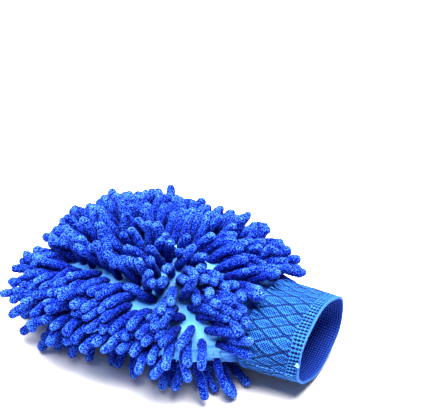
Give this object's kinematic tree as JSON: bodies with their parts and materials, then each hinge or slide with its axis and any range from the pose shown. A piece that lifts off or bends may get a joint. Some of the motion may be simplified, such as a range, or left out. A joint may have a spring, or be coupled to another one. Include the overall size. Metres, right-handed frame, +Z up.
{
  "type": "wash mitt",
  "caption": "Chenille wash mitt lying open on its fingers: a lined cloth pouch with rows of soft round-ended fingers and an elastic cuff that flexes at its gathered neck.",
  "frame": {"origin": "on the surface the mitt lies on, under the middle of its box", "axes": "+X from the closed end to the wrist opening, +Z up through the top panel, +Y across the mitt"},
  "size_m": [0.2569, 0.1974, 0.1013],
  "materials": {
    "chenille_pile": "matte",
    "base_cloth": "matte",
    "lining_cloth": "matte",
    "elastic_knit": "matte",
    "sewing_thread": "satin"
  },
  "bodies": {
    "mitt": {"bottom_fingers_row_01": "chenille_pile", "bottom_fingers_row_02": "chenille_pile", "bottom_fingers_row_03": "chenille_pile", "bottom_fingers_row_04": "chenille_pile", "bottom_fingers_row_05": "chenille_pile", "bottom_fingers_row_06": "chenille_pile", "bottom_fingers_row_07": "chenille_pile", "bottom_fingers_row_08": "chenille_pile", "bottom_fingers_row_09": "chenille_pile", "bottom_fingers_row_10": "chenille_pile", "bottom_fingers_row_11": "chenille_pile", "bottom_fingers_row_12": "chenille_pile", "bottom_fingers_row_13": "chenille_pile", "bottom_fingers_row_14": "chenille_pile", "bottom_lining": "lining_cloth", "bottom_panel": "base_cloth", "neck_gather": "base_cloth", "side_seam_stitches": "sewing_thread", "top_fingers_row_01": "chenille_pile", "top_fingers_row_02": "chenille_pile", "top_fingers_row_03": "chenille_pile", "top_fingers_row_04": "chenille_pile", "top_fingers_row_05": "chenille_pile", "top_fingers_row_06": "chenille_pile", "top_fingers_row_07": "chenille_pile", "top_fingers_row_08": "chenille_pile", "top_fingers_row_09": "chenille_pile", "top_fingers_row_10": "chenille_pile", "top_fingers_row_11": "chenille_pile", "top_fingers_row_12": "chenille_pile", "top_fingers_row_13": "chenille_pile", "top_fingers_row_14": "chenille_pile", "top_fingers_row_15": "chenille_pile", "top_fingers_row_16": "chenille_pile", "top_fingers_row_17": "chenille_pile", "top_fingers_row_18": "chenille_pile", "top_fingers_row_19": "chenille_pile", "top_lining": "lining_cloth", "top_panel": "base_cloth"},
    "cuff": {"cuff_band": "elastic_knit", "cuff_attaching_stitches": "sewing_thread", "cuff_closing_stitches": "sewing_thread"}
  },
  "joints": [
    {"name": "cuff_flex", "type": "hinge", "parent": "mitt", "child": "cuff", "pos_m": [0.072, 0, 0.035], "axis": [0, -1, 0], "range_deg": [-4, 20], "stiffness_Nm_per_rad": 0.3, "deforming": ["neck_gather"]}
  ]
}
